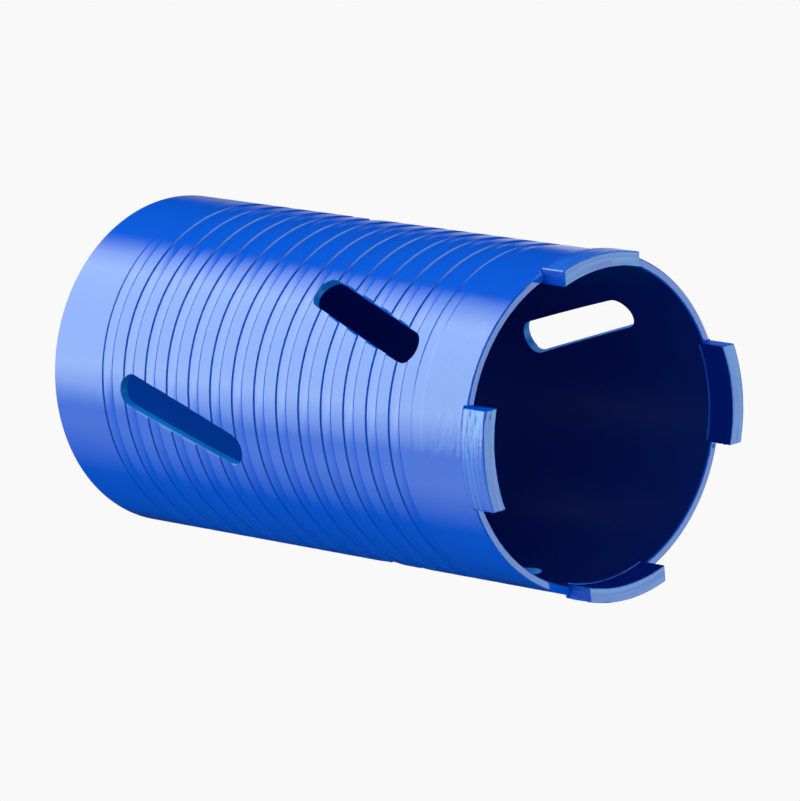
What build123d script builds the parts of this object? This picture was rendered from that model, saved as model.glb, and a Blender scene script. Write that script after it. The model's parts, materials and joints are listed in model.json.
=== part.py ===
from build123d import *
from math import cos, degrees, radians, sin
import os

# Dry diamond core bit, 82 mm cutting diameter, 150 mm working depth.
# The bit stands on the end of its threaded hub, mouth up: Z runs along the
# axis of rotation from the hub's end face to the diamond segments.
# All lengths in millimetres, all angles in degrees.

# ---- Barrel: a drawn steel tube -------------------------------------------
barrel_diameter = 80.0
barrel_wall = 2.0
barrel_length = 149.0
barrel_edge_chamfer = 0.3

# ---- Helical dust groove in the outside of the barrel -----------------------
groove_pitch = 8.0
groove_width = 4.0  # along the axis, at the barrel's surface
groove_depth = 0.3
groove_rear_flank = 0.25  # axial run of the steep flank, on the hub's side
groove_front_flank = 0.7  # axial run of the gentle flank, on the mouth's side
groove_from_rear = 15.4  # rear edge of the groove's first turn
groove_to_rim = 18.0  # rim to the rear edge of the groove's last turn
groove_start_angle = -220.5
groove_runout_angle = 150.0  # turn over which the tool feeds in, and out again
groove_overcut = 0.5  # how far the tool reaches past surface and floor

# ---- Slanted slots through the wall, in two rings of three ------------------
slot_width = 8.0
slot_length = 44.0
slot_slant = 16.7  # to the axis, leaning with the thread of the groove
slots_per_ring = 3
rear_ring_height = 46.5  # centre of the slots from the barrel's rear edge
rear_ring_angle = 37.5
front_ring_height = 106.0
front_ring_angle = -7.2

# ---- Diamond segments on the rim --------------------------------------------
segment_count = 4
first_segment_angle = 4.5
segment_length = 24.0  # along the arc, at mid thickness
segment_thickness = 3.8
segment_height = 7.9
segment_side_relief = 1.0  # how far it stands outside the barrel
segment_edge_bevel = 0.25
seat_depth = 0.8  # each segment sits in a shallow seat in the rim
seat_spare = 2.2  # length of the seat left free behind the segment
braze_film = 0.1
braze_fillet = 0.7  # height of the fillets of braze under the overhangs
braze_puddle_length = 1.3  # braze that ran out into the free end of the seat
braze_puddle_height = 0.45

# ---- Back plate welded into the rear of the barrel --------------------------
plate_thickness = 6.0
plate_clearance = 0.05  # radial, in the barrel
weld_groove = 1.2  # chamfer on both sides of the weld seam
weld_crown = 0.45
weld_crown_width = 1.0  # flat top of the crown

# ---- Threaded hub welded into the plate: female G 1/2 -----------------------
thread_minor_diameter = 18.63
thread_major_diameter = 20.955
thread_lead_in = 0.3  # countersink past the thread's major radius
thread_edge_match = 0.01  # tolerance for finding the bore's edge by its radius
hub_diameter = 34.0
hub_projection = 12.0  # behind the plate
hub_spigot_diameter = 26.0
hub_clearance = 0.05  # radial, between spigot and plate
hub_edge_chamfer = 1.0
wrench_size = 30.0  # across the two flats
wrench_flat_length = 8.0
hub_weld_leg = 2.5
hub_weld_throat = 0.6  # of the leg, on both axes: a slightly full fillet

# ---- Worked out from the values above ---------------------------------------
barrel_rear = hub_projection
barrel_rim = barrel_rear + barrel_length
barrel_outer = barrel_diameter / 2
barrel_inner = barrel_outer - barrel_wall
plate_radius = barrel_inner - plate_clearance
plate_inside = barrel_rear + plate_thickness
hub_radius = hub_diameter / 2
spigot_radius = hub_spigot_diameter / 2
thread_minor = thread_minor_diameter / 2
thread_countersink = thread_major_diameter / 2 - thread_minor + thread_lead_in
segment_outer = barrel_outer + segment_side_relief
segment_inner = segment_outer - segment_thickness
segment_middle = segment_outer - segment_thickness / 2
segment_angle = degrees(segment_length / segment_middle)
seat_floor = barrel_rim - seat_depth
segment_bottom = seat_floor + braze_film
seat_spare_angle = degrees(seat_spare / barrel_outer)
segment_pitch_angle = 360 / segment_count

# ---- Barrel -----------------------------------------------------------------
# The groove's tool is one long helical sweep that starts at angle 0. It is
# trimmed to the groove's depth by a plain cylinder, and at either end by half
# an off-centre disc, which gives the stretch where the turning tool feeds in
# or out. Such a disc meets the barrel's surface at the groove's very end and
# the groove's floor after the run-out angle.
groove_first = barrel_rear + groove_from_rear
groove_last = barrel_rim - groove_to_rim
groove_rise = groove_last - groove_first
groove_turned = 360 * groove_rise / groove_pitch
floor_radius = barrel_outer - groove_depth
disc_offset = groove_depth / (1 - cos(radians(groove_runout_angle)))
disc_radius = barrel_outer - disc_offset
tool_outer = barrel_outer + groove_overcut
tool_inner = floor_radius - groove_overcut
tool_reach = barrel_outer - tool_inner
rear_slope = groove_rear_flank / groove_depth
front_slope = groove_front_flank / groove_depth
trim_bottom = groove_first - groove_pitch
trim_top = groove_last + 2 * groove_pitch
feed_in_top = groove_first + groove_pitch - groove_overcut
feed_out_bottom = groove_last + groove_width - groove_pitch + groove_overcut

with BuildPart() as groove_tool:
    with BuildLine():
        Helix(groove_pitch, groove_rise, barrel_outer, center=(0, 0, groove_first))
    with BuildSketch(Plane.XZ):
        with BuildLine():
            Polyline(
                (tool_outer, groove_first - rear_slope * groove_overcut),
                (tool_inner, groove_first + rear_slope * tool_reach),
                (tool_inner, groove_first + groove_width - front_slope * tool_reach),
                (tool_outer, groove_first + groove_width + front_slope * groove_overcut),
                close=True,
            )
        make_face()
    sweep(is_frenet=True)
    with BuildSketch(Plane.XY.offset(trim_bottom)):
        Circle(floor_radius)
    extrude(amount=trim_top - trim_bottom, mode=Mode.SUBTRACT)
    for end_angle, side, bottom, top in (
        (0, 1, trim_bottom, feed_in_top),
        (groove_turned, -1, feed_out_bottom, trim_top),
    ):
        with BuildSketch(Plane.XY.offset(bottom).rotated((0, 0, end_angle))):
            with Locations((disc_offset, 0)):
                Circle(disc_radius)
            with Locations((0, side * (barrel_outer - groove_overcut))):
                Rectangle(2 * barrel_outer, 2 * barrel_outer, mode=Mode.INTERSECT)
        extrude(amount=top - bottom, mode=Mode.SUBTRACT)

with BuildPart() as seat_tool:
    with BuildSketch(Plane.XZ):
        with Locations((barrel_inner - barrel_wall, seat_floor)):
            Rectangle(3 * barrel_wall, 2 * seat_depth, align=(Align.MIN, Align.MIN))
    revolve(axis=Axis.Z, revolution_arc=segment_angle + seat_spare_angle)


def slot_plane(angle, height):
    """Plane outside the wall, facing outwards, with its X along the slanted slot."""
    outward = Vector(cos(radians(angle)), sin(radians(angle)))
    sideways = Vector(-sin(radians(angle)), cos(radians(angle)))
    along = Vector(0, 0, cos(radians(slot_slant))) + sideways * sin(radians(slot_slant))
    centre = outward * (barrel_outer + barrel_wall) + Vector(0, 0, barrel_rear + height)
    return Plane(centre, x_dir=along, z_dir=outward)


slot_planes = []
for ring_angle, ring_height in (
    (rear_ring_angle, rear_ring_height),
    (front_ring_angle, front_ring_height),
):
    for slot in range(slots_per_ring):
        slot_planes.append(slot_plane(ring_angle + slot * 360 / slots_per_ring, ring_height))

with BuildPart() as barrel:
    with BuildSketch(Plane.XY.offset(barrel_rear)):
        Circle(barrel_outer)
        Circle(barrel_inner, mode=Mode.SUBTRACT)
    extrude(amount=barrel_length)
    rear_edges = barrel.edges().filter_by(GeomType.CIRCLE).group_by(Axis.Z)[0]
    rim_edges = barrel.edges().filter_by(GeomType.CIRCLE).group_by(Axis.Z)[-1]
    chamfer(rim_edges + rear_edges.sort_by(SortBy.RADIUS)[-1:], length=barrel_edge_chamfer)
    weld_edge = barrel.edges().filter_by(GeomType.CIRCLE).group_by(Axis.Z)[0]
    chamfer(weld_edge.sort_by(SortBy.RADIUS)[:1], length=weld_groove)
    add(groove_tool.part, rotation=(0, 0, groove_start_angle), mode=Mode.SUBTRACT)
    with BuildSketch(*slot_planes):
        SlotOverall(slot_length, slot_width)
    extrude(amount=-4 * barrel_wall, mode=Mode.SUBTRACT)
    seat_start = first_segment_angle - segment_angle / 2 - seat_spare_angle
    with PolarLocations(0, segment_count, start_angle=seat_start):
        add(seat_tool.part, mode=Mode.SUBTRACT)

# ---- Back plate ---------------------------------------------------------------
with BuildPart() as back_plate:
    with BuildSketch(Plane.XY.offset(barrel_rear)):
        Circle(plate_radius)
        Circle(spigot_radius + hub_clearance, mode=Mode.SUBTRACT)
    extrude(amount=plate_thickness)
    seam_edge = back_plate.edges().filter_by(GeomType.CIRCLE).group_by(Axis.Z)[0]
    chamfer(seam_edge.sort_by(SortBy.RADIUS)[-1:], length=weld_groove)

# The seam fills the V between plate and barrel and is slightly crowned.
with BuildPart() as plate_weld:
    with BuildSketch(Plane.XZ):
        with BuildLine():
            Polyline(
                (plate_radius - weld_groove, barrel_rear),
                (barrel_inner - weld_crown_width / 2, barrel_rear - weld_crown),
                (barrel_inner + weld_crown_width / 2, barrel_rear - weld_crown),
                (barrel_inner + weld_groove, barrel_rear),
                (barrel_inner, barrel_rear + weld_groove),
                (plate_radius, barrel_rear + weld_groove),
                close=True,
            )
        make_face()
    revolve(axis=Axis.Z)

# ---- Threaded hub ---------------------------------------------------------------
with BuildPart() as threaded_hub:
    with BuildSketch():
        Circle(hub_radius)
    extrude(amount=hub_projection)
    chamfer(threaded_hub.edges().group_by(Axis.Z)[0], length=hub_edge_chamfer)
    with BuildSketch(Plane.XY.offset(barrel_rear)):
        Circle(spigot_radius)
    extrude(amount=plate_thickness)
    with BuildSketch():
        Circle(thread_minor)
    extrude(amount=plate_inside, mode=Mode.SUBTRACT)
    bore_edges = threaded_hub.edges().filter_by(GeomType.CIRCLE).filter_by(
        lambda edge: edge.radius < thread_minor + thread_edge_match
    )
    chamfer(bore_edges.group_by(Axis.Z)[0], length=thread_countersink)
    with BuildSketch():
        Circle(hub_radius + hub_edge_chamfer)
        Rectangle(wrench_size, 3 * hub_radius, mode=Mode.SUBTRACT)
    extrude(amount=wrench_flat_length, mode=Mode.SUBTRACT)

with BuildPart() as hub_weld:
    with BuildSketch(Plane.XZ):
        with BuildLine():
            throat = hub_weld_leg * hub_weld_throat
            Polyline(
                (hub_radius, barrel_rear - hub_weld_leg),
                (hub_radius + throat, barrel_rear - throat),
                (hub_radius + hub_weld_leg, barrel_rear),
                (hub_radius, barrel_rear),
                close=True,
            )
        make_face()
    revolve(axis=Axis.Z)

# ---- One segment and its braze, centred on the X axis -------------------------
segment_plane = Plane.XZ.rotated((0, 0, -segment_angle / 2))

with BuildPart() as segment:
    with BuildSketch(segment_plane):
        with Locations((segment_inner, segment_bottom)):
            Rectangle(segment_thickness, segment_height, align=(Align.MIN, Align.MIN))
    revolve(axis=Axis.Z, revolution_arc=segment_angle)
    bottom_edges = segment.edges().group_by(Axis.Z)[0]
    chamfer(segment.edges() - bottom_edges, length=segment_edge_bevel)

with BuildPart() as braze:
    film_inner = segment_inner + segment_edge_bevel
    film_outer = segment_outer - segment_edge_bevel
    with BuildSketch(segment_plane):
        with BuildLine():
            Polyline(
                (film_inner, segment_bottom),
                (film_outer, segment_bottom),
                (barrel_outer, segment_bottom - braze_fillet),
                (barrel_outer, seat_floor),
                (barrel_inner, seat_floor),
                (barrel_inner, segment_bottom - braze_fillet),
                close=True,
            )
        make_face()
    revolve(axis=Axis.Z, revolution_arc=segment_angle)
    with BuildSketch(segment_plane):
        with Locations((barrel_inner, seat_floor)):
            Rectangle(barrel_wall, braze_puddle_height, align=(Align.MIN, Align.MIN))
    revolve(axis=Axis.Z, revolution_arc=-degrees(braze_puddle_length / barrel_outer))

# ---- Write every piece ----------------------------------------------------------
os.makedirs("parts", exist_ok=True)

pieces = {
    "barrel": barrel.part,
    "back_plate": back_plate.part,
    "plate_weld": plate_weld.part,
    "threaded_hub": threaded_hub.part,
    "hub_weld": hub_weld.part,
}
for index in range(segment_count):
    turned = Location((0, 0, 0), (0, 0, first_segment_angle + index * segment_pitch_angle))
    pieces[f"segment_{index + 1}"] = segment.part.moved(turned)
    pieces[f"braze_{index + 1}"] = braze.part.moved(turned)

for name, piece in pieces.items():
    piece.label = name
    export_step(piece, f"parts/{name}.step")
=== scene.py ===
# %% [markdown]
# # A dry diamond core bit
#
# The object is a steel tube with four diamond segments brazed on its rim. A
# helical groove and six slanted slots clear the dust, a plate closes the rear,
# and a threaded hub takes the drill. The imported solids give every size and
# place. This script dresses them: it builds finer skins where a formula can
# describe them, lacquers everything blue, and lights it in a white studio.

import json
import math

import bmesh
import bpy
from mathutils import Matrix, Vector

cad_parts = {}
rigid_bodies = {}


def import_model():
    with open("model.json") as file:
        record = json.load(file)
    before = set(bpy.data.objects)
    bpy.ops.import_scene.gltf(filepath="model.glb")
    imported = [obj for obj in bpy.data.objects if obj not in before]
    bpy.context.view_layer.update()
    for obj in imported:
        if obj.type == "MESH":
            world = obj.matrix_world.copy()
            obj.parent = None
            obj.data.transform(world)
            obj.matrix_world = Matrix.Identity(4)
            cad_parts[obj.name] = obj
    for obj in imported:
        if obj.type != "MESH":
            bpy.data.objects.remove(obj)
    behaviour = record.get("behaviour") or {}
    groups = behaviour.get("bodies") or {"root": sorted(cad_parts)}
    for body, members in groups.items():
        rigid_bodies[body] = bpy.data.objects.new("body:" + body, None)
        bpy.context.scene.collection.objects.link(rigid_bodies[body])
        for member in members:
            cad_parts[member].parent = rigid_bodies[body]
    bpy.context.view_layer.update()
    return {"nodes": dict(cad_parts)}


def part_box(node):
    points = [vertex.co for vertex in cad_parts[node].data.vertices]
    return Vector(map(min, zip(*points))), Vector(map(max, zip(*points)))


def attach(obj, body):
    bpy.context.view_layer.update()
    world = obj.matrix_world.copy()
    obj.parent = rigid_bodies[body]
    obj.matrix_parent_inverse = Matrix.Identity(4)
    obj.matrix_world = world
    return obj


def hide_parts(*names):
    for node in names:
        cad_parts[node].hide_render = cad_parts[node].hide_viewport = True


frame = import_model()
mm = 0.001
print("CAD nodes:", sorted(frame["nodes"]))

# %% Measures read from the frame
barrel_low, barrel_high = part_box("barrel")
plate_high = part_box("back_plate")[1]
hub_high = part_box("threaded_hub")[1]
segment_low, segment_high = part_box("segment_1")
barrel_rear, barrel_rim = barrel_low.z, barrel_high.z
barrel_radius = barrel_high.x
segment_outer = segment_high.x
print(f"barrel radius {barrel_radius / mm:.2f} mm,",
      f"from {barrel_rear / mm:.1f} to {barrel_rim / mm:.1f} mm")

# %% Sizes of the details, as the solids have them
wall = 2.0 * mm
edge_chamfer = 0.3 * mm
groove_pitch = 8.0 * mm
groove_width = 4.0 * mm
groove_depth = 0.3 * mm
groove_rear_flank = 0.25 * mm
groove_front_flank = 0.7 * mm
groove_from_rear = 15.4 * mm
groove_to_rim = 18.0 * mm
groove_start_angle = math.radians(-220.5)
groove_runout = math.radians(150.0)
slot_width = 8.0 * mm
slot_length = 44.0 * mm
slot_slant = math.radians(16.7)
slot_rings = ((46.5 * mm, math.radians(37.5)), (106.0 * mm, math.radians(-7.2)))
slots_per_ring = 3
segment_count = 4
first_segment_angle = math.radians(4.5)
segment_length = 24.0 * mm
segment_thickness = 3.8 * mm
seat_depth = 0.8 * mm
seat_spare = 2.2 * mm
weld_groove = 1.2 * mm
print(slots_per_ring * len(slot_rings), "slots and", segment_count, "segments")

# %% [markdown]
# ## Writing node trees as formulas
#
# Geometry Nodes can hold a formula, but a tree of Math nodes is long to write
# and hard to read. The small class below wraps a socket, so that `a * b + c`
# in the script adds the Multiply and Add nodes to the tree. The same class
# serves the shader trees, because both kinds have the same Math node.


# %% A socket that can be used in arithmetic
class Field:
    def __init__(self, tree, socket):
        self.tree, self.socket = tree, socket

    def math(self, operation, *others, swap=False):
        node = self.tree.nodes.new("ShaderNodeMath")
        node.operation = operation
        terms = [self, *others]
        for place, term in enumerate(reversed(terms) if swap else terms):
            connect(self.tree, term, node.inputs[place])
        return Field(self.tree, node.outputs[0])

    def __add__(self, other): return self.math("ADD", other)
    def __radd__(self, other): return self.math("ADD", other)
    def __sub__(self, other): return self.math("SUBTRACT", other)
    def __rsub__(self, other): return self.math("SUBTRACT", other, swap=True)
    def __mul__(self, other): return self.math("MULTIPLY", other)
    def __rmul__(self, other): return self.math("MULTIPLY", other)
    def __truediv__(self, other): return self.math("DIVIDE", other)
    def __rtruediv__(self, other): return self.math("DIVIDE", other, swap=True)
    def least(self, other): return self.math("MINIMUM", other)
    def most(self, other): return self.math("MAXIMUM", other)
    def cos(self): return self.math("COSINE")
    def sin(self): return self.math("SINE")


def connect(tree, value, socket):
    if isinstance(value, Field):
        tree.links.new(value.socket, socket)
    else:
        socket.default_value = value


# %% A node tree with named inputs
SOCKET_KINDS = {
    "float": "NodeSocketFloat",
    "int": "NodeSocketInt",
    "material": "NodeSocketMaterial",
    "object": "NodeSocketObject",
    "color": "NodeSocketColor",
    "geometry": "NodeSocketGeometry",
}


class Tree:
    def __init__(self, name, kind, inputs, outputs=None):
        self.tree = bpy.data.node_groups.new(name, kind)
        self.ids = {}
        if outputs is None:  # a tree that makes a mesh
            inputs = inputs | {"Material": "material"}
            outputs = {"Geometry": "geometry"}
        for label, socket_kind in inputs.items():
            item = self.tree.interface.new_socket(
                name=label, in_out="INPUT", socket_type=SOCKET_KINDS[socket_kind]
            )
            self.ids[label] = item.identifier
        for label, socket_kind in outputs.items():
            self.tree.interface.new_socket(
                name=label, in_out="OUTPUT", socket_type=SOCKET_KINDS[socket_kind]
            )
        self.source = self.tree.nodes.new("NodeGroupInput")
        self.sink = self.tree.nodes.new("NodeGroupOutput")

    def input(self, label):
        return Field(self.tree, self.source.outputs[label])

    def node(self, kind, sockets=None, **settings):
        node = self.tree.nodes.new(kind)
        for key, value in settings.items():
            setattr(node, key, value)
        for key, value in (sockets or {}).items():
            connect(self.tree, value, node.inputs[key])
        return node

    def out(self, node, key=0):
        return Field(self.tree, node.outputs[key])

    def choose(self, index, values):
        """The value whose place in the list is the index."""
        node = self.node("GeometryNodeIndexSwitch", data_type="FLOAT")
        while len(node.index_switch_items) < len(values):
            node.index_switch_items.new()
        connect(self.tree, index, node.inputs["Index"])
        for place, value in enumerate(values):
            connect(self.tree, value, node.inputs[place + 1])
        return self.out(node)

    def xyz(self, x, y, z):
        return self.out(self.node("ShaderNodeCombineXYZ", {"X": x, "Y": y, "Z": z}))

    def finish(self, **results):
        for label, value in results.items():
            connect(self.tree, value, self.sink.inputs[label])

    def finish_mesh(self, geometry):
        """Every tree that makes a mesh ends in real faces that have their material."""
        real = self.node("GeometryNodeRealizeInstances", {"Geometry": geometry})
        dressed = self.node("GeometryNodeSetMaterial", {
            "Geometry": self.out(real), "Material": self.input("Material"),
        })
        self.finish(Geometry=self.out(dressed))


# %% Trees become plain meshes
def placed(name, data):
    """A new object in the scene."""
    piece = bpy.data.objects.new(name, data)
    bpy.context.scene.collection.objects.link(piece)
    return piece


def run_tree(name, tree, material, values, base=None):
    """A plain mesh object made by a tree from its named inputs."""
    piece = base or placed(name, bpy.data.meshes.new(name))
    modifier = piece.modifiers.new(tree.tree.name, "NODES")
    modifier.node_group = tree.tree
    for label, value in (values | {"Material": material}).items():
        modifier[tree.ids[label]] = value
    return bake_modifiers(piece, name)


def bake_modifiers(piece, name):
    bpy.context.view_layer.update()
    evaluated = piece.evaluated_get(bpy.context.evaluated_depsgraph_get())
    piece.data = bpy.data.meshes.new_from_object(evaluated)
    piece.data.name = name
    piece.modifiers.clear()
    return piece


# %% Mesh code that several pieces share
MERGE_DISTANCE = 0.002 * mm
SLIVER = 0.001 * mm


def mesh_object(name, vertices, faces):
    mesh = bpy.data.meshes.new(name)
    mesh.from_pydata(vertices, [], faces)
    return placed(name, mesh)


def from_bmesh(name, form):
    """The object that a finished bmesh becomes."""
    mesh = bpy.data.meshes.new(name)
    form.to_mesh(mesh)
    form.free()
    return placed(name, mesh)


def gathered(pieces):
    """One bmesh that takes the place of several objects."""
    form = bmesh.new()
    for piece in pieces:
        form.from_mesh(piece.data)
        bpy.data.objects.remove(piece)
    return form


def polar(radius, angle, z):
    return (radius * math.cos(angle), radius * math.sin(angle), z)


def turned(name, profile, columns, start=0.0):
    """The surface that a profile of (radius, z) points sweeps round the Z axis."""
    rows = len(profile)
    vertices = [
        polar(radius, start + math.tau * column / columns, z)
        for column in range(columns)
        for radius, z in profile
    ]
    faces = []
    for column in range(columns):
        here, there = column * rows, (column + 1) % columns * rows
        for row in range(rows - 1):
            faces.append((here + row, there + row, there + row + 1, here + row + 1))
    return mesh_object(name, vertices, faces)


def welded(name, pieces):
    """Several open skins joined along their common edges into one closed mesh."""
    form = gathered(pieces)
    bmesh.ops.remove_doubles(form, verts=form.verts, dist=MERGE_DISTANCE)
    bmesh.ops.dissolve_degenerate(form, edges=form.edges, dist=SLIVER)
    bmesh.ops.recalc_face_normals(form, faces=form.faces)
    open_edges = sum(not edge.is_manifold for edge in form.edges)
    piece = from_bmesh(name, form)
    print(f"{name}: {len(piece.data.polygons)} faces, {open_edges} open edges")
    return piece


def cut(piece, cutters):
    for cutter in cutters:
        modifier = piece.modifiers.new("Cut", "BOOLEAN")
        modifier.operation, modifier.solver, modifier.object = "DIFFERENCE", "EXACT", cutter
    bake_modifiers(piece, piece.name)
    for cutter in cutters:
        bpy.data.objects.remove(cutter)


def smooth(piece, sharp_angle=35.0):
    piece.data.shade_smooth()
    piece.data.set_sharp_from_angle(angle=math.radians(sharp_angle))
    return piece


# %% [markdown]
# ## Finishes
#
# Everything is dipped in one blue lacquer, so one shader group gives the skin
# that all the materials share: a fine orange peel, slow changes in the
# thickness of the coat, fine lines that run round the axis where the tool was
# turned or ground, and patches of coarser marks by the mouth, where the braze
# was dressed off. Painting it in one group keeps the pieces alike. Each
# material then sets its own colours, gloss and marks. Some colours are painted
# light and shade. The inside of the tube and the inner faces of the segments
# have a dark copy of the lacquer, which is painted shade, and the ends of the
# segments have a darker copy, also painted shade. The slot walls have a lighter
# copy, which is painted light. The segments' outer faces and tops have a
# lighter copy with light and dark streaks along the grinding lines, painted
# light and shade. The walls, inner faces and ends also have a lower index of
# refraction. The real skin would be one lacquer. The materials come before the
# pieces, since each tree ends by setting its piece's material.

# %% The lacquer group
NOISE_MIDDLE = 0.5
LINE_STRETCH = 0.001
DRESSING_STRETCH = 0.02
DRESSING_SCALE = 0.6
MARK_FADE = 4.0 * mm
PATCHES_PER_METRE = 70.0
PATCH_EDGE = (0.44, 0.54)
COAT_PER_METRE = 40.0
COAT_CONTRAST = 1.6
# A Mix node has sockets for each kind of value under the same names, so places tell them apart
MIX_FACTOR, MIX_NUMBER_A, MIX_NUMBER_B, MIX_COLOR_A, MIX_COLOR_B = 0, 2, 3, 6, 7
MIX_NUMBER_RESULT, MIX_COLOR_RESULT = 0, 2


def lacquer_group():
    t = Tree(
        "Lacquer skin", "ShaderNodeTree",
        {"Thin Color": "color", "Thick Color": "color", "Gloss": "float", "Dull": "float",
         "Peel per Metre": "float", "Lines": "float", "Lines per Metre": "float",
         "Line Tint": "float", "Lines From": "float", "Lines To": "float",
         "Dressing": "float", "Dressed From": "float"},
        {"Color": "color", "Roughness": "float", "Height": "float"},
    )
    position = Field(t.tree, t.node("ShaderNodeTexCoord").outputs["Object"])

    def noise(scale, detail, vector=position):
        node = t.node("ShaderNodeTexNoise", {"Vector": vector, "Scale": scale, "Detail": detail})
        return t.out(node)

    def ramp(value, low, high):
        """0 below the first limit, 1 above the second, straight between them."""
        return ((value - low) / (high - low)).most(0.0).least(1.0)

    parts = t.node("ShaderNodeSeparateXYZ", {"Vector": position})
    x, y, z = (t.out(parts, key) for key in "XYZ")
    radius = (x * x + y * y).math("SQRT")
    angle = y.math("ARCTAN2", x)
    # The angle is shrunk, so that the noise is drawn out along the arc.
    lines = noise(t.input("Lines per Metre"), 3.0, t.xyz(radius, angle * LINE_STRETCH, z))
    start, end = t.input("Lines From"), t.input("Lines To")
    lined = ramp(z, start, start + MARK_FADE) * ramp(z, end, end - MARK_FADE)
    dressed_from = t.input("Dressed From")
    patches = ramp(noise(PATCHES_PER_METRE, 1.0), *PATCH_EDGE)
    scraped = noise(DRESSING_SCALE * t.input("Lines per Metre"), 2.0,
                    t.xyz(radius, angle * DRESSING_STRETCH, z))
    dressed = patches * ramp(z, dressed_from, dressed_from + MARK_FADE) * (scraped - NOISE_MIDDLE)
    # The line tint mixes the two colours along the grinding lines. It is set only on the segments,
    # where its lighter and darker streaks are painted light and shade for the ground ridges
    coat = ((noise(COAT_PER_METRE, 3.0) - NOISE_MIDDLE) * COAT_CONTRAST + NOISE_MIDDLE
            + t.input("Line Tint") * (lines - NOISE_MIDDLE))
    mix = t.node("ShaderNodeMix", {
        MIX_FACTOR: coat.least(1.0).most(0.0), MIX_COLOR_A: t.input("Thin Color"),
        MIX_COLOR_B: t.input("Thick Color"),
    }, data_type="RGBA")
    peel = noise(t.input("Peel per Metre"), 2.0)
    gloss = t.input("Gloss")
    t.finish(
        Color=t.out(mix, MIX_COLOR_RESULT),
        Roughness=gloss + (t.input("Dull") - gloss) * peel,
        Height=peel + t.input("Lines") * lined * lines + t.input("Dressing") * dressed,
    )
    return t


lacquer = lacquer_group()
print("lacquer group:", len(lacquer.tree.nodes), "nodes")


# %% A lacquered material
# A tint chosen for the look: it takes a little red and blue out of the reflections
REFLECTION_TINT = (0.78, 1.0, 0.6, 1.0)
RELIEF_DEPTH = 0.1 * mm
# How squarely a face looks at the axis, or past it, to count as an inner face or a wall
FACES_AXIS, FACES_PAST = 0.8, 0.5


def lacquered(name, thin, thick, gloss=0.07, dull=0.11, peel=900.0, bump=0.04, ior=1.9,
              lines=0.6, lines_scale=1400.0, tint=0.0, lined=(-1.0, 1.0), dressing=0.0,
              dressed_from=1.0):
    material = bpy.data.materials.new(name)
    material.use_nodes = True
    nodes, links = material.node_tree.nodes, material.node_tree.links
    shader = nodes["Principled BSDF"]
    shader.inputs["IOR"].default_value = ior
    shader.inputs["Specular Tint"].default_value = REFLECTION_TINT
    group = nodes.new("ShaderNodeGroup")
    group.node_tree = lacquer.tree
    for label, value in (
        ("Thin Color", (*thin, 1.0)), ("Thick Color", (*thick, 1.0)), ("Gloss", gloss),
        ("Dull", dull), ("Peel per Metre", peel), ("Lines", lines),
        ("Lines per Metre", lines_scale), ("Line Tint", tint), ("Lines From", lined[0]),
        ("Lines To", lined[1]), ("Dressing", dressing), ("Dressed From", dressed_from),
    ):
        group.inputs[label].default_value = value
    links.new(group.outputs["Color"], shader.inputs["Base Color"])
    links.new(group.outputs["Roughness"], shader.inputs["Roughness"])
    relief = nodes.new("ShaderNodeBump")
    relief.inputs["Strength"].default_value = bump
    relief.inputs["Distance"].default_value = RELIEF_DEPTH
    links.new(group.outputs["Height"], relief.inputs["Height"])
    links.new(relief.outputs["Normal"], shader.inputs["Normal"])
    return material


def dress(piece, slot, *materials):
    """Give a piece its materials and its body. The slot argument is not used."""
    piece.data.materials.clear()
    for material in materials:
        piece.data.materials.append(material)
    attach(piece, "root")


def sort_faces_into_lit_and_shaded(piece, across_from, front):
    """Second material on faces turned to the axis, third on walls behind the front: the copies that
    carry painted light and shade.
    """
    chosen = []
    for face in piece.data.polygons:
        out = face.center.xy.normalized()
        outward = face.normal.xy.dot(out)
        across = abs(face.normal.x * out.y - face.normal.y * out.x)
        stands = abs(outward) < FACES_PAST and across >= across_from and face.center.z < front
        chosen.append(1 if outward < -FACES_AXIS else 2 if stands else 0)
    piece.data.polygons.foreach_set("material_index", chosen)
    print(piece.name, chosen.count(1), "faces turned to the axis")


# %% One material for each finish, and lit and shaded copies of the lacquer
blue_thin, blue_thick = (0.0008, 0.125, 0.86), (0.0006, 0.115, 0.81)
barrel_paint = lacquered(
    "blue lacquer on tube", blue_thin, blue_thick, lines=2.5, lines_scale=1100.0,
    lined=(24 * mm, 148 * mm), dressing=35.0, dressed_from=barrel_rim - 14 * mm,
)
# Painted light: a lighter copy of the lacquer for the walls of the slots
lit_cut_wall_paint = lacquered(
    "blue lacquer on cut walls", (0.001, 0.34, 1.0), (0.0008, 0.28, 1.0), gloss=0.3,
    dull=0.4, ior=1.4,
)
# Painted shade: a darker copy of the lacquer for the inside of the tube, where little light reaches
shaded_inside_paint = lacquered(
    "blue lacquer inside tube", (0.0005, 0.03, 0.34), (0.0004, 0.024, 0.30), gloss=0.3,
    dull=0.4, ior=1.2,
)
plate_paint = lacquered("blue lacquer on plate", blue_thin, blue_thick)
hub_paint = lacquered("blue lacquer on hub", blue_thin, blue_thick)
weld_paint = lacquered("blue lacquer on weld", blue_thin, blue_thick)
# Painted light: a lighter copy of the lacquer for the segments' outer faces and tops. Its strong
# line tint draws lighter and darker streaks along the grinding lines, painted light and shade for
# the ridges
segment_paint = lacquered(
    "blue lacquer on segments", (0.012, 0.26, 0.95), (0.0008, 0.085, 0.80), gloss=0.13,
    dull=0.22, bump=0.32, lines=1.8, tint=3.5,
)
# Painted shade: a dark copy of the lacquer for the segments' inner faces, as inside the tube
shaded_segment_inside_paint = lacquered(
    "blue lacquer inside segments", (0.0004, 0.032, 0.46), (0.0003, 0.024, 0.40), gloss=0.3,
    dull=0.4, ior=1.1,
)
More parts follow.
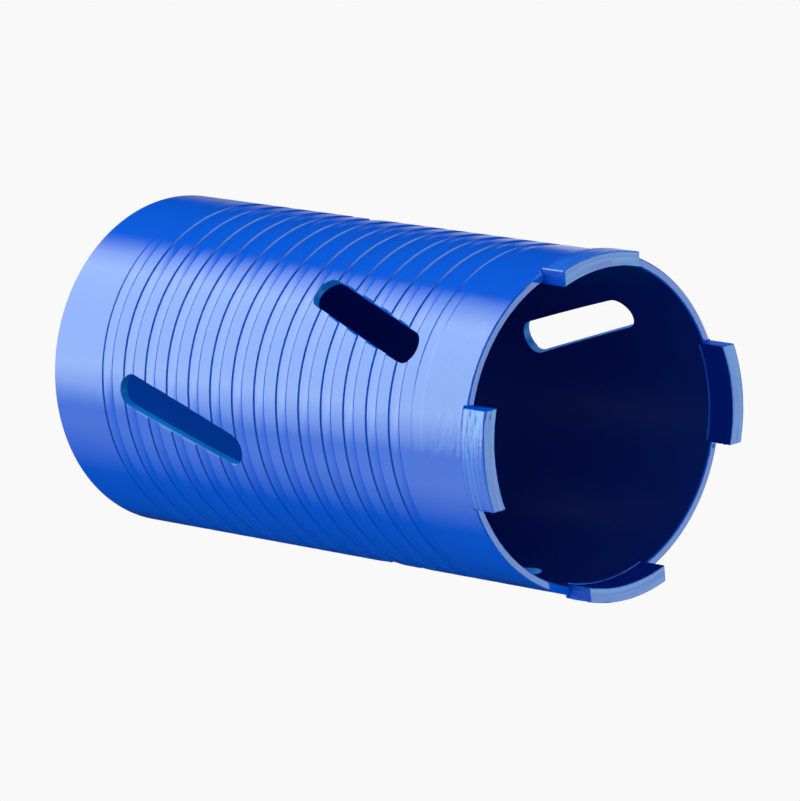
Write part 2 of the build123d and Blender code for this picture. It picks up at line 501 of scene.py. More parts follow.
# Painted shade: a darker copy of the lacquer for the segments' ends
shaded_segment_end_paint = lacquered(
    "blue lacquer on segment ends", (0.0008, 0.115, 0.85), (0.0006, 0.07, 0.62), gloss=0.2,
    dull=0.3, ior=1.2, tint=1.0,
)
braze_paint = lacquered(
    "blue lacquer on braze", (0.001, 0.14, 0.9), (0.0008, 0.1, 0.8), peel=1500.0
)
print("materials:", sorted(m.name for m in bpy.data.materials if m.name.startswith("blue")))

# %% [markdown]
# ## The grooved barrel
#
# The tube is turned from drawn steel, and one long right-handed groove is cut
# in it: steep on the hub's side, gentle towards the mouth. A screw surface
# follows a rule, so Geometry Nodes make it: a flat grid is wound round the
# axis, and its rows take the groove's profile. The grid runs past both ends of
# the barrel, where its rows are pressed flat on the edge and merged, which
# leaves a clean round edge. A modelled groove catches light as the real one
# does, which a bump map does not. The same tree later cuts the hub's thread.

# %% The tree for a screw surface
REAR_CORNER = 0.12
SOFT_FLANK = [(0.0, 1.0), (0.2, 0.9), (0.4, 0.65), (0.6, 0.35), (0.8, 0.1), (1.0, 0.0)]


def screw_tree():
    names = (
        "Radius", "Pitch", "First Edge", "Groove Turns", "Depth", "Width", "Rear Flank",
        "Front Flank", "Lip", "Start Angle", "Run-out", "Rear End", "Front End",
    )
    inputs = {name: "float" for name in names}
    inputs |= {"Columns": "int", "Rear Turns": "int", "Skin Turns": "int"}
    t = Tree("Screw surface", "GeometryNodeTree", inputs)
    (radius, pitch, first, turns, depth, width, rear, front, lip, start, run_out, low,
     high) = (t.input(name) for name in names)
    columns, rear_turns, skin_turns = map(t.input, ("Columns", "Rear Turns", "Skin Turns"))
    # (distance along the axis from the groove's rear edge, share of its depth):
    # a rear flank with crisp corners, the floor, and a soft front flank.
    profile = [
        (0.0 - lip, 0.0), (rear * REAR_CORNER, REAR_CORNER),
        (rear * (1 - REAR_CORNER), 1 - REAR_CORNER), (rear + lip, 1.0), (rear + lip * 3.0, 1.0),
    ]
    profile += [(width - front * (1 - share), amount) for share, amount in SOFT_FLANK]
    profile += [(width + lip * 2.0, 0.0), (pitch - lip * 3.0, 0.0), (pitch - lip, 0.0)]
    rows = len(profile)
    steps = columns * skin_turns
    grid = t.node(
        "GeometryNodeMeshGrid",
        {"Size X": steps, "Size Y": rows - 1.0, "Vertices X": steps + 1.0, "Vertices Y": rows},
    )
    position = t.out(t.node("GeometryNodeInputPosition"))
    place = t.node("ShaderNodeSeparateXYZ", {"Vector": position})
    turn = (t.out(place, "X") + steps / 2.0) / columns - rear_turns
    row = (t.out(place, "Y") + (rows - 1) / 2).math("ROUND")
    along = t.choose(row, [offset for offset, _ in profile])
    deep = t.choose(row, [amount for _, amount in profile])
    angle = turn * math.tau
    whole = 1.0 - run_out.cos()
    feed_in = (1.0 - angle.most(0.0).least(run_out).cos()) / whole
    feed_out = (1.0 - (turns * math.tau - angle).most(0.0).least(run_out).cos()) / whole
    distance = radius - depth * deep * feed_in * feed_out
    height = (first + pitch * turn + along).most(low).least(high)
    around = angle + start
    wound = t.node("GeometryNodeSetPosition", {
        "Geometry": t.out(grid, "Mesh"),
        "Position": t.xyz(distance * around.cos(), distance * around.sin(), height),
    })
    merged = t.node("GeometryNodeMergeByDistance", {
        "Geometry": t.out(wound), "Distance": MERGE_DISTANCE,
    })
    t.finish_mesh(t.out(merged))
    return t


screw = screw_tree()
print("screw surface tree:", len(screw.tree.nodes), "nodes")

# %% The barrel, wound, closed and cut
barrel_columns = 180
rim_band = 2.0 * mm
groove_rise = barrel_rim - groove_to_rim - barrel_rear - groove_from_rear
skin = run_tree("groove_skin", screw, barrel_paint, {
    "Radius": barrel_radius, "Pitch": groove_pitch,
    "First Edge": barrel_rear + groove_from_rear, "Groove Turns": groove_rise / groove_pitch,
    "Depth": groove_depth, "Width": groove_width, "Rear Flank": groove_rear_flank,
    "Front Flank": groove_front_flank, "Lip": 0.03 * mm, "Start Angle": groove_start_angle,
    "Run-out": groove_runout, "Rear End": barrel_rear + edge_chamfer,
    "Front End": barrel_rim - edge_chamfer, "Columns": barrel_columns, "Rear Turns": 3,
    "Skin Turns": 21,
})
bore_radius = barrel_radius - wall
inside = turned("barrel_inside", [
    (barrel_radius, barrel_rim - edge_chamfer),
    (barrel_radius - edge_chamfer, barrel_rim),
    (bore_radius + edge_chamfer, barrel_rim),
    (bore_radius, barrel_rim - edge_chamfer),
    (bore_radius, barrel_rim - rim_band),
    (bore_radius, barrel_rear + 2 * weld_groove),
    (bore_radius, barrel_rear + weld_groove),
    (bore_radius + weld_groove, barrel_rear),
    (barrel_radius - edge_chamfer, barrel_rear),
    (barrel_radius, barrel_rear + edge_chamfer),
], barrel_columns, groove_start_angle)
barrel = welded("grooved_barrel", [skin, inside])

# %% [markdown]
# ## Slots and seats
#
# Each slot was milled square through the wall, so one cutter with a small
# flare at its mouth, for the broken edge, serves all six. A tree sets copies
# of a piece round the axis. It places the slots, and later the segments.

# %% The tree for a ring of copies
def ring_tree():
    t = Tree(
        "Ring of copies", "GeometryNodeTree",
        {"Piece": "object", "Count": "int", "First Angle": "float", "Height": "float"},
    )
    index = t.out(t.node("GeometryNodeInputIndex"))
    turn = t.input("First Angle") + index * math.tau / t.input("Count")
    points = t.node("GeometryNodePoints", {
        "Count": t.input("Count"), "Position": t.xyz(0.0, 0.0, t.input("Height")),
    })
    facing = t.node("FunctionNodeEulerToRotation", {"Euler": t.xyz(0.0, 0.0, turn)})
    info = t.node("GeometryNodeObjectInfo", {"Object": t.input("Piece")})
    copies = t.node("GeometryNodeInstanceOnPoints", {
        "Points": t.out(points), "Instance": t.out(info, "Geometry"), "Rotation": t.out(facing),
    })
    t.finish_mesh(t.out(copies))
    return t


ring = ring_tree()
print("ring tree:", len(ring.tree.nodes), "nodes")


def ring_of(name, piece, material, count, first_angle, height=0.0):
    return run_tree(name, ring, material, {
        "Piece": piece, "Count": count, "First Angle": first_angle, "Height": height,
    })


# %% The slot cutter and the seat cutter
def loft(name, outlines):
    """A closed body through outlines that have the same number of points."""
    count = len(outlines[0])
    faces = [tuple(reversed(range(count)))]
    for level in range(len(outlines) - 1):
        for point in range(count):
            near, far = level * count + point, level * count + (point + 1) % count
            faces.append((near, far, far + count, near + count))
    last = (len(outlines) - 1) * count
    faces.append(tuple(range(last, last + count)))
    return mesh_object(name, [point for outline in outlines for point in outline], faces)


def slot_outline(radius, grow, steps=14):
    """The slot's outline on a cylinder of that radius, grown on all sides."""
    half_run = (slot_length - slot_width) / 2
    end_radius = slot_width / 2 + grow
    outline = []
    for end in (1, -1):
        for step in range(steps + 1):
            sweep = math.pi * step / steps
            along = end * (half_run + end_radius * math.sin(sweep))
            across = end * end_radius * math.cos(sweep)
            sideways = along * math.sin(slot_slant) + across * math.cos(slot_slant)
            z = along * math.cos(slot_slant) - across * math.sin(slot_slant)
            outline.append((math.sqrt(radius**2 - sideways**2), sideways, z))
    return outline


broken_edge = 0.12 * mm
past_wall = 0.6 * mm
slot_cutter = loft("slot_cutter", [
    slot_outline(bore_radius - past_wall, 0.0),
    slot_outline(barrel_radius - broken_edge, 0.0),
    slot_outline(barrel_radius + past_wall, broken_edge + past_wall),
])


def square_ended_block(name, inner, outer, bottom, top, start, end, steps=18):
    """A curved block whose two ends are parallel, as a pressed segment's are."""
    outlines = []
    for step in range(steps + 1):
        y = start + (end - start) * step / steps
        near, far = math.sqrt(inner**2 - y**2), math.sqrt(outer**2 - y**2)
        outlines.append([(near, y, bottom), (far, y, bottom), (far, y, top), (near, y, top)])
    return loft(name, outlines)


segment_inner = segment_outer - segment_thickness
segment_middle = segment_outer - segment_thickness / 2
seat_cutter = square_ended_block(
    "seat_cutter", bore_radius - past_wall, barrel_radius + past_wall,
    barrel_rim - seat_depth, barrel_rim + past_wall,
    -segment_length / 2 - seat_spare, segment_length / 2,
)

# %% Cut the barrel
cutters = [
    ring_of(f"slots_{number}", slot_cutter, barrel_paint, slots_per_ring, angle,
            barrel_rear + height)
    for number, (height, angle) in enumerate(slot_rings)
]
cutters.append(ring_of("seats", seat_cutter, barrel_paint, segment_count, first_segment_angle))
cut(barrel, cutters)
for tool in (slot_cutter, seat_cutter):
    bpy.data.objects.remove(tool)
smooth(barrel)
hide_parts("barrel")
dress(barrel, "barrel_paint", barrel_paint, shaded_inside_paint, lit_cut_wall_paint)
# Painted shade on the tube's inner faces, painted light on its slot walls
sort_faces_into_lit_and_shaded(barrel, 0.0, barrel_rim - rim_band)
print("barrel:", len(barrel.data.polygons), "faces")

# %% [markdown]
# ## The camera
#
# It stands where a viewer would to look down into the mouth, and it is rolled
# so that the tool lies across the view with its rim on the right.

# %% The camera
camera_place = Vector((-305.952, -1228.261, 1502.020)) * mm
camera_right = Vector((0.02452673, 0.75093529, 0.65992017))
camera_up = Vector((-0.98640944, 0.12545703, -0.10609877))
lens = 358.923
sensor = 36.0

camera = placed("camera", bpy.data.cameras.new("camera"))
back = camera_right.cross(camera_up)
camera.matrix_world = Matrix.Translation(camera_place) @ Matrix(
    (camera_right, camera_up, back)
).transposed().to_4x4()
camera.data.lens, camera.data.sensor_width = lens, sensor
camera.data.clip_end = 10.0
bpy.context.scene.camera = camera
print("camera stands", round(camera_place.length, 3), "m from the origin")

# %% [markdown]
# ## The diamond segments
#
# A segment is pressed and sintered from metal powder with diamond grit, then
# ground round. It is a curved block with parallel ends and soft edges. A tree
# bends a box into that block: it pulls every point of the box's skin towards
# an inner box, which rounds the edges, and then lays the result on the arc. A
# second tree presses the skin in: fine ridges, as grinding leaves them, which
# are deepest at the end that meets the wall first, and small pits of grit. It
# works on all four segments at once, so no two have the same marks.

# %% The tree for a curved block
def block_tree():
    t = Tree(
        "Curved block", "GeometryNodeTree",
        {"Middle Radius": "float", "Thickness": "float", "Length": "float",
         "Bottom": "float", "Height": "float", "Rounding": "float",
         "Steps Across": "int", "Steps Along": "int", "Steps Up": "int"},
    )
    rounding = t.input("Rounding")
    size = t.xyz(t.input("Thickness"), t.input("Length"), t.input("Height"))
    box = t.node("GeometryNodeMeshCube", {
        "Size": size, "Vertices X": t.input("Steps Across"),
        "Vertices Y": t.input("Steps Along"), "Vertices Z": t.input("Steps Up"),
    })

    def vector(operation, first, second, key=1):
        node = t.node("ShaderNodeVectorMath", operation=operation)
        connect(t.tree, first, node.inputs[0])
        connect(t.tree, second, node.inputs[key])
        return t.out(node)

    skin = t.out(t.node("GeometryNodeInputPosition"))
    half = vector("SCALE", size, 0.5, "Scale")
    inset = vector("SUBTRACT", half, t.xyz(rounding, rounding, rounding))
    core = vector("MAXIMUM", vector("MINIMUM", skin, inset), vector("SCALE", inset, -1.0, "Scale"))
    away = t.node("ShaderNodeVectorMath", operation="NORMALIZE")
    connect(t.tree, vector("SUBTRACT", skin, core), away.inputs[0])
    rounded = vector("ADD", core, vector("SCALE", t.out(away), rounding, "Scale"))
    parts = t.node("ShaderNodeSeparateXYZ", {"Vector": rounded})
    radius, y = t.input("Middle Radius") + t.out(parts, "X"), t.out(parts, "Y")
    height = t.out(parts, "Z") + t.input("Bottom") + t.input("Height") / 2.0
    bent = t.node("GeometryNodeSetPosition", {
        "Geometry": t.out(box, "Mesh"),
        "Position": t.xyz((radius * radius - y * y).math("SQRT"), y, height),
    })
    t.finish_mesh(t.out(bent))
    return t


block = block_tree()
print("block tree:", len(block.tree.nodes), "nodes")

# %% Four segments on the rim
segment_one = run_tree("segment_block", block, segment_paint, {
    "Middle Radius": segment_middle, "Thickness": segment_thickness,
    "Length": segment_length, "Bottom": segment_low.z,
    "Height": segment_high.z - segment_low.z, "Rounding": 0.35 * mm,
    "Steps Across": 16, "Steps Along": 96, "Steps Up": 48,
})
segments = ring_of("diamond_segments", segment_one, segment_paint, segment_count,
                   first_segment_angle)
bpy.data.objects.remove(segment_one)


# %% The tree for ground and sintered skin
RIDGE_STRETCH = 0.006
WHOLE_TURNS = 10.0  # added, so that the fraction is taken of a positive number
SEGMENT_MIDDLE = 0.5
DEPTH_FALL = 0.75


def sintered_tree():
    t = Tree(
        "Sintered skin", "GeometryNodeTree",
        {"Geometry": "geometry", "Ridge Depth": "float", "Grit Depth": "float",
         "Ridges per Metre": "float", "Grit per Metre": "float", "Count": "int",
         "First Angle": "float", "Deep Side": "float", "Plain Share": "float"},
    )
    position = t.out(t.node("GeometryNodeInputPosition"))
    place = t.node("ShaderNodeSeparateXYZ", {"Vector": position})
    x, y, z = (t.out(place, key) for key in "XYZ")
    radius = (x * x + y * y).math("SQRT")
    angle = y.math("ARCTAN2", x)
    ridges = t.node("ShaderNodeTexNoise", {
        "Vector": t.xyz(radius, angle * RIDGE_STRETCH, z), "Scale": t.input("Ridges per Metre"),
        "Detail": 2.0,
    })
    grit = t.node("ShaderNodeTexNoise", {
        "Vector": position, "Scale": t.input("Grit per Metre"), "Detail": 2.0,
    })
    # The place along a segment, from -1 at one end to 1 at the other
    pitch = math.tau / t.input("Count")
    turns = (angle - t.input("First Angle")) / pitch + (WHOLE_TURNS + SEGMENT_MIDDLE)
    along = (turns.math("FRACT") - SEGMENT_MIDDLE) * pitch / t.input("Deep Side")
    deep = (1.0 - (along + 1.0) * DEPTH_FALL).most(t.input("Plain Share")).least(1.0)
    pressed = t.input("Ridge Depth") * deep * t.out(ridges) + t.input("Grit Depth") * t.out(grit)
    normal = t.out(t.node("GeometryNodeInputNormal"))
    offset = t.node("ShaderNodeVectorMath", {0: normal, "Scale": pressed * -1.0},
                    operation="SCALE")
    moved = t.node("GeometryNodeSetPosition", {
        "Geometry": t.input("Geometry"), "Offset": t.out(offset),
    })
    t.finish_mesh(t.out(moved))
    return t


sintered = sintered_tree()
segment_half_angle = math.asin(segment_length / 2 / segment_middle)
run_tree("diamond_segments", sintered, segment_paint, {
    "Ridge Depth": 0.34 * mm, "Grit Depth": 0.10 * mm, "Ridges per Metre": 1300.0,
    "Grit per Metre": 2600.0, "Count": segment_count, "First Angle": first_segment_angle,
    "Deep Side": segment_half_angle, "Plain Share": 0.18,
}, base=segments)
smooth(segments, 60.0)
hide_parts(*(f"segment_{number + 1}" for number in range(segment_count)))
dress(segments, "segment_paint", segment_paint, shaded_segment_inside_paint, shaded_segment_end_paint)
# Painted shade on the segments' inner faces and ends
sort_faces_into_lit_and_shaded(segments, 0.8, segment_high.z)
print("segments:", len(segments.data.polygons), "faces")

# %% [markdown]
# ## Braze
#
# The segments are held by a thin film of braze. Where it was squeezed out it
# stands as a narrow bead along both sides of the rim, and in the free end of
# each seat it has frozen as a small puddle. A tube along an arc, whose radius
# wanders with a noise, looks like that bead.

# %% The tree for a bead along an arc
BEAD_STEPS, BEAD_SIDES = 90, 10


def bead_tree():
    t = Tree(
        "Bead along an arc", "GeometryNodeTree",
        {"Radius": "float", "Height": "float", "Start": "float", "Sweep": "float",
         "Thickness": "float", "Wander": "float", "Lumps per Metre": "float", "Seed": "float"},
    )
    arc = t.node("GeometryNodeCurveArc", {
        "Radius": t.input("Radius"), "Start Angle": t.input("Start"),
        "Sweep Angle": t.input("Sweep"), "Resolution": BEAD_STEPS,
    })
    lumps = t.node("ShaderNodeTexNoise", {
        "W": t.input("Seed"), "Scale": t.input("Lumps per Metre"), "Detail": 2.0,
    }, noise_dimensions="4D")
    connect(t.tree, t.out(t.node("GeometryNodeInputPosition")), lumps.inputs["Vector"])
    thick = t.input("Thickness") * (1.0 + t.input("Wander") * (t.out(lumps) - NOISE_MIDDLE))
    lifted = t.node("GeometryNodeSetPosition", {
        "Geometry": t.out(arc), "Offset": t.xyz(0.0, 0.0, t.input("Height")),
    })
    section = t.node("GeometryNodeCurvePrimitiveCircle", {"Resolution": BEAD_SIDES, "Radius": 1.0})
    tube = t.node("GeometryNodeCurveToMesh", {
        "Curve": t.out(lifted), "Profile Curve": t.out(section), "Scale": thick,
        "Fill Caps": True,
    })
    t.finish_mesh(t.out(tube))
    return t


bead = bead_tree()
print("bead tree:", len(bead.tree.nodes), "nodes")


# %% Braze beads and puddles
def puddle(name, radius, angle, z, length, width, height):
    """A drop that has frozen on the seat: a flattened ball."""
    ball = bmesh.new()
    bmesh.ops.create_icosphere(ball, subdivisions=3, radius=1.0)
    turn = Matrix.Rotation(angle, 4, "Z")
    place = Matrix.Translation(polar(radius, angle, z))
    stretch = Matrix.Diagonal((width / 2, length / 2, height, 1.0))
    bmesh.ops.transform(ball, matrix=place @ turn @ stretch, verts=ball.verts)
    return from_bmesh(name, ball)


seat_floor = barrel_rim - seat_depth
puddle_heights = (0.5 * mm, 1.0 * mm, 0.6 * mm, 0.75 * mm)
# Side of the rim, radius of the arc and height of the bead's middle
beads = (
    ("outer", barrel_radius + 0.1 * mm, segment_low.z - 0.12 * mm),
    ("inner", segment_inner + 0.18 * mm, segment_low.z - 0.16 * mm),
)
braze_pieces = []
for number, puddle_height in enumerate(puddle_heights):
    start = first_segment_angle + number * math.tau / segment_count - segment_half_angle
    for side, radius, height in beads:
        braze_pieces.append(run_tree(f"bead_{side}_{number}", bead, braze_paint, {
            "Radius": radius, "Height": height, "Start": start,
            "Sweep": 2 * segment_half_angle, "Thickness": 0.28 * mm, "Wander": 1.1,
            "Lumps per Metre": 420.0, "Seed": float(number),
        }))
    braze_pieces.append(puddle(
        f"puddle_{number}", barrel_radius - wall / 2, start - seat_spare / 2 / barrel_radius,
        seat_floor, length=1.9 * mm, width=1.8 * mm, height=puddle_height,
    ))
braze = smooth(from_bmesh("braze_beads", gathered(braze_pieces)), 80.0)
dress(braze, "braze_paint", braze_paint)
print("braze:", len(braze.data.polygons), "faces")

# %% [markdown]
# ## The two weld seams
#
# The back plate sits in the tube and the hub in the plate, and each joint is
# closed by a welded seam. Such a seam freezes in overlapping scales. A grid is
# laid round the axis between the seam's two toes, and its rows swell into a
# crown. The crown rises and falls in a skewed wave whose front lags at the
# middle, which gives the curved scales.

# %% The tree for a scaled weld seam
CREST_ROWS = 10
BACK_ROWS = 2  # one at the root, one back at the first toe


def seam_tree():
    names = (
        "Toe Radius", "Toe Height", "Far Toe Radius", "Far Toe Height", "Root Radius",
        "Root Height", "Crown", "Scale Depth", "Scale Lag",
    )
    inputs = {name: "float" for name in names} | {"Scales": "int", "Columns": "int"}
    t = Tree("Weld seam", "GeometryNodeTree", inputs)
    (toe_r, toe_z, far_r, far_z, root_r, root_z, crown, scale_depth,
     lag) = (t.input(name) for name in names)
    columns, scales = t.input("Columns"), t.input("Scales")
    last_row = CREST_ROWS + BACK_ROWS
    grid = t.node("GeometryNodeMeshGrid", {
        "Size X": columns, "Size Y": float(last_row), "Vertices X": columns + 1.0,
        "Vertices Y": last_row + 1,
    })
    position = t.out(t.node("GeometryNodeInputPosition"))
    place = t.node("ShaderNodeSeparateXYZ", {"Vector": position})
    share = t.out(place, "X") / columns + 0.5
    row = (t.out(place, "Y") + last_row / 2).math("ROUND")
    across = row / CREST_ROWS
    arch = 4.0 * across * (1.0 - across)
    wave = (share * scales + lag * arch).math("FRACT")
    swell = (crown * arch + scale_depth * wave * arch).most(0.0)
    run_r, run_z = far_r - toe_r, far_z - toe_z
    length = (run_r * run_r + run_z * run_z).math("SQRT")
    crest_r = toe_r + run_r * across + swell * run_z / length
    crest_z = toe_z + run_z * across - swell * run_r / length
    past = row - CREST_ROWS
    distance = t.choose(past.most(0.0), [crest_r, root_r, toe_r])
    height = t.choose(past.most(0.0), [crest_z, root_z, toe_z])
    angle = share * math.tau
    laid = t.node("GeometryNodeSetPosition", {
        "Geometry": t.out(grid, "Mesh"),
        "Position": t.xyz(distance * angle.cos(), distance * angle.sin(), height),
    })
    merged = t.node("GeometryNodeMergeByDistance", {
        "Geometry": t.out(laid), "Distance": MERGE_DISTANCE,
    })
    t.finish_mesh(t.out(merged))
    return t


seam = seam_tree()
print("seam tree:", len(seam.tree.nodes), "nodes")

# %% The plate's seam and the hub's seam
seam_clearance = 0.05 * mm
plate_weld = run_tree("plate_seam", seam, weld_paint, {
    "Toe Radius": plate_high.x - weld_groove, "Toe Height": barrel_rear,
    "Far Toe Radius": bore_radius + weld_groove, "Far Toe Height": barrel_rear,
    "Root Radius": bore_radius - seam_clearance / 2, "Root Height": barrel_rear + weld_groove,
    "Crown": 0.28 * mm, "Scale Depth": 0.16 * mm, "Scale Lag": 0.8, "Scales": 150,
    "Columns": 1200,
})
hub_radius = hub_high.y
hub_weld_leg = 2.5 * mm
hub_weld = run_tree("hub_seam", seam, weld_paint, {
    "Toe Radius": hub_radius, "Toe Height": barrel_rear - hub_weld_leg,
    "Far Toe Radius": hub_radius + hub_weld_leg, "Far Toe Height": barrel_rear,
    "Root Radius": hub_radius, "Root Height": barrel_rear,
    "Crown": 0.25 * mm, "Scale Depth": 0.2 * mm, "Scale Lag": 0.8, "Scales": 72,
    "Columns": 720,
})
for piece, node in ((plate_weld, "plate_weld"), (hub_weld, "hub_weld")):
    smooth(piece, 50.0)
    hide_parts(node)
    dress(piece, "weld_paint", weld_paint)
    print(piece.name, len(piece.data.polygons), "faces")

# %% [markdown]
# ## The threaded hub
#
# The drill's spindle screws into the hub: a turned boss with two wrench flats
# and a female pipe thread. The thread is a groove in a round wall like the
# barrel's, only finer and cut outwards from the bore, so the same tree makes
# it with a negative depth.

# %% The hub, turned, threaded and milled
thread_minor = 9.315 * mm
thread_major = 10.4775 * mm
thread_pitch = 1.8143 * mm
thread_width = 0.92 * thread_pitch
thread_flank = 0.42 * thread_pitch
countersink = thread_major - thread_minor + 0.3 * mm
spigot_radius = 13.0 * mm
hub_chamfer = 1.0 * mm
hub_columns = 120
flat_length = 8.0 * mm
thread_span = hub_high.z - countersink - thread_width
thread = run_tree("thread_skin", screw, hub_paint, {
    "Radius": thread_minor, "Pitch": thread_pitch, "First Edge": countersink,
    "Groove Turns": thread_span / thread_pitch, "Depth": thread_minor - thread_major,
    "Width": thread_width, "Rear Flank": thread_flank, "Front Flank": thread_flank,
    "Lip": 0.02 * mm, "Start Angle": 0.0, "Run-out": math.radians(120.0),
    "Rear End": countersink, "Front End": hub_high.z, "Columns": hub_columns,
    "Rear Turns": 2, "Skin Turns": 13,
})
boss = turned("hub_outside", [
    (thread_minor, hub_high.z), (spigot_radius, hub_high.z), (spigot_radius, barrel_rear),
    (hub_radius, barrel_rear), (hub_radius, hub_chamfer), (hub_radius - hub_chamfer, 0.0),
    (thread_minor + countersink, 0.0), (thread_minor, countersink),
], hub_columns)
hub = welded("hub_with_thread", [thread, boss])
wrench_half = 15.0 * mm
past_side, past_end = 2.0 * mm, 1.0 * mm
flat_cutters = []
for side in (1, -1):
    near, far = sorted((side * wrench_half, side * (hub_radius + past_side)))
    flat_cutters.append(loft(f"flat_{side}", [
        [(near, -hub_radius, z), (far, -hub_radius, z), (far, hub_radius, z), (near, hub_radius, z)]
        for z in (-past_end, flat_length)
    ]))
cut(hub, flat_cutters)
smooth(hub)
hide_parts("threaded_hub")
dress(hub, "hub_paint", hub_paint)
print("hub:", len(hub.data.polygons), "faces")

# %% [markdown]
# ## The solids that stay as they are
#
# The back plate and the films of braze need no finer skin, so they only get
# their lacquer.

# %% Plate and films
plain_solids = {"back_plate": plate_paint}
plain_solids |= {f"braze_{number + 1}": braze_paint for number in range(segment_count)}
for node, material in plain_solids.items():
    frame["nodes"][node].data.materials.clear()
    frame["nodes"][node].data.materials.append(material)
print("lacquered as they are:", list(plain_solids))

# %% [markdown]
# ## The studio
#
# A glossy round tube shows its surroundings as long stripes, so the light is a
# few flat white soft boxes round the tool. A large one gives the broad band on
# the near side, a smaller one faces the mouth, and weaker ones fill the other
# sides. Each fades towards its edges. A wide white bowl, brightest near the
# horizon, and a soft sun light the paint itself. The reflections don't see them
# and the paint doesn't see the boxes, so gloss and colour can be set apart. Real
# light has no such split. The camera doesn't see the lights, and the floor is
# pale in any light and open to a view from below.

# %% A white light
def bare_material(name):
    """A new material that has no nodes yet, with its nodes and links."""
    material = bpy.data.materials.new(name)
    material.use_nodes = True
    material.node_tree.nodes.clear()
    return material, material.node_tree.nodes, material.node_tree.links


def glow_material(name, strength):
    """White light whose strength follows the sheet's own glow attribute."""
    material, nodes, links = bare_material(name)
    attribute = nodes.new("ShaderNodeAttribute")
    attribute.attribute_name = "glow"
    power = nodes.new("ShaderNodeMath")
    power.operation = "MULTIPLY"
    power.inputs[1].default_value = strength
    links.new(attribute.outputs["Fac"], power.inputs[0])
    emission = nodes.new("ShaderNodeEmission")
    links.new(power.outputs[0], emission.inputs["Strength"])
    clear = nodes.new("ShaderNodeBsdfTransparent")
    both = nodes.new("ShaderNodeAddShader")  # so that no box hides the one behind it
    links.new(emission.outputs[0], both.inputs[0])
    links.new(clear.outputs[0], both.inputs[1])
    output = nodes.new("ShaderNodeOutputMaterial")
    links.new(both.outputs[0], output.inputs["Surface"])
    return material


def hang_light(name, vertices, faces, glow, material, lights="glossy"):
    """A glowing sheet that the camera doesn't see, for reflections or for the paint."""
    sheet = mesh_object(name, vertices, faces)
    attribute = sheet.data.attributes.new("glow", "FLOAT", "POINT")
    attribute.data.foreach_set("value", glow)
    sheet.data.materials.append(material)
    sheet.visible_camera = sheet.visible_shadow = sheet.visible_transmission = False
    sheet.visible_glossy = lights == "glossy"
    sheet.visible_diffuse = lights == "diffuse"


def grid_faces(rows, columns, spans):
    """The faces of a grid of points. As many spans as columns close it into a ring."""
    return [
        (row * columns + column, row * columns + (column + 1) % columns,
         (row + 1) * columns + (column + 1) % columns, (row + 1) * columns + column)
        for row in range(rows - 1) for column in range(spans)
    ]


# %% White soft boxes
BOX_STEPS = 24
tool_middle = Vector((0.0, 0.0, (barrel_rear + barrel_rim) / 2))


def soft_box(name, azimuth, elevation, distance, width, height, strength, soft=0.35):
    """A flat white box that faces the tool. Its glow fades over the soft share of each half."""
    azimuth, elevation = math.radians(azimuth), math.radians(elevation)
    direction = Vector(polar(math.cos(elevation), azimuth, math.sin(elevation)))
    turn = direction.to_track_quat("Z", "Y").to_matrix()
    vertices, glow = [], []
    for row in range(BOX_STEPS + 1):
        for column in range(BOX_STEPS + 1):
            across, up = 2 * column / BOX_STEPS - 1, 2 * row / BOX_STEPS - 1
            corner = turn @ Vector((across * width / 2, up * height / 2, 0.0))
            vertices.append(tuple(tool_middle + direction * distance + corner))
            fade = [min(1.0, (1.0 - abs(share)) / soft) for share in (across, up)]
            glow.append(fade[0] * fade[1])
    faces = grid_faces(BOX_STEPS + 1, BOX_STEPS + 1, BOX_STEPS)
    hang_light(name, vertices, faces, glow, glow_material(name, strength))


# The near wall and the rim mirror the first and the fourth of these to the camera
soft_box("key_box", azimuth=-124.0, elevation=-48.0, distance=0.9, width=1.4, height=0.9,
         strength=3.1, soft=0.5)
soft_box("fill_box", azimuth=-55.0, elevation=-40.0, distance=1.2, width=1.4, height=1.2,
         strength=0.8, soft=0.8)
soft_box("back_box", azimuth=95.0, elevation=-30.0, distance=0.9, width=0.5, height=0.9,
         strength=0.9, soft=0.8)
soft_box("mouth_box", azimuth=76.0, elevation=48.0, distance=1.0, width=0.9, height=0.9,
         strength=1.9)
soft_box("side_box", azimuth=165.0, elevation=8.0, distance=1.0, width=0.9, height=0.9,
         strength=1.6, soft=0.6)

# %% The light on the paint
bowl_strength = 1.82
bowl_radius = 3.0
bowl_columns, bowl_rows = 36, 13
bowl_reach = 89.0
bowl_lean, bowl_side = 0.28, math.radians(-180.0)
upper_share, lowest_share, horizon_share = 0.18, 0.3, 0.95
bowl_light = glow_material("bowl light", bowl_strength)
bowl_vertices, bowl_glow = [], []
for row in range(bowl_rows):
    elevation = math.radians(-bowl_reach + 2 * bowl_reach * row / (bowl_rows - 1))
    for column in range(bowl_columns):
        azimuth = math.tau * column / bowl_columns
        bowl_vertices.append(polar(bowl_radius * math.cos(elevation), azimuth,
                                   bowl_radius * math.sin(elevation)))
        lean = 1.0 + bowl_lean * math.cos(azimuth - bowl_side)
        low_share = lowest_share + horizon_share * math.cos(elevation) ** 2
        bowl_glow.append(lean * low_share if row < bowl_rows // 2 else upper_share)
bowl_faces = grid_faces(bowl_rows, bowl_columns, bowl_columns)
hang_light("light_bowl", bowl_vertices, bowl_faces, bowl_glow, bowl_light, lights="diffuse")

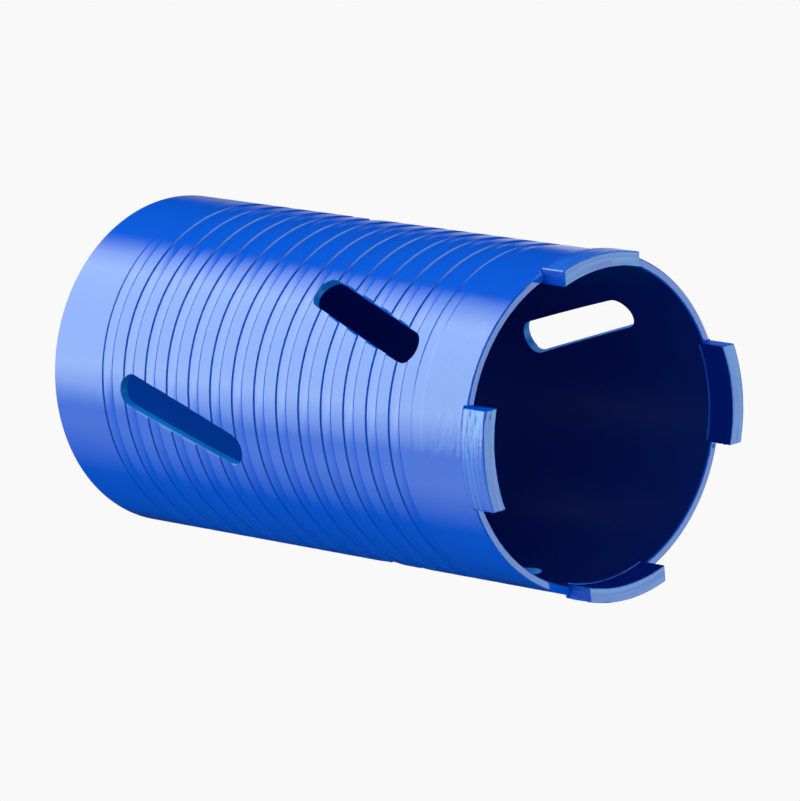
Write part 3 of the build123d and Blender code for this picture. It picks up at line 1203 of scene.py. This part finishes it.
overhead = placed("overhead", bpy.data.lights.new("overhead", "SUN"))
overhead.data.energy = 0.8
overhead.data.angle = math.radians(8.0)
overhead.visible_glossy = False
print("bowl:", len(bowl_faces), "faces, sun:", round(overhead.data.energy, 2))


# %% The floor and the room
def backdrop_material(name, level):
    """A pale surface that looks the same in any light and is open from below."""
    material, nodes, links = bare_material(name)
    emission = nodes.new("ShaderNodeEmission")
    emission.inputs["Color"].default_value = (level, level, level, 1.0)
    clear = nodes.new("ShaderNodeBsdfTransparent")
    side = nodes.new("ShaderNodeNewGeometry")
    mix = nodes.new("ShaderNodeMixShader")
    links.new(side.outputs["Backfacing"], mix.inputs[0])
    links.new(emission.outputs[0], mix.inputs[1])
    links.new(clear.outputs[0], mix.inputs[2])
    output = nodes.new("ShaderNodeOutputMaterial")
    links.new(mix.outputs[0], output.inputs["Surface"])
    return material


paper = 0.945
reach = 20.0
# A hair below the hub's end, so that the two don't share a plane
floor_z = -0.5 * mm
floor = mesh_object("floor", [(-reach, -reach, floor_z), (reach, -reach, floor_z),
                              (reach, reach, floor_z), (-reach, reach, floor_z)], [(0, 1, 2, 3)])
floor.data.materials.append(backdrop_material("paper", paper))
floor.visible_glossy = floor.visible_diffuse = floor.visible_shadow = False
floor.visible_transmission = False

room_light = 0.004
world = bpy.data.worlds.new("studio")
bpy.context.scene.world = world
world.use_nodes = True
nodes, links = world.node_tree.nodes, world.node_tree.links
seen = nodes.new("ShaderNodeLightPath")
shade = nodes.new("ShaderNodeMix")
links.new(seen.outputs["Is Camera Ray"], shade.inputs[MIX_FACTOR])
shade.inputs[MIX_NUMBER_A].default_value = room_light
shade.inputs[MIX_NUMBER_B].default_value = paper
background = nodes["Background"]
background.inputs["Color"].default_value = (1.0, 1.0, 1.0, 1.0)
links.new(shade.outputs[MIX_NUMBER_RESULT], background.inputs["Strength"])
bpy.context.scene.view_settings.view_transform = "Standard"
bpy.context.scene.view_settings.look = "None"
print("floor at", round(floor_z / mm, 2), "mm, room light", room_light)
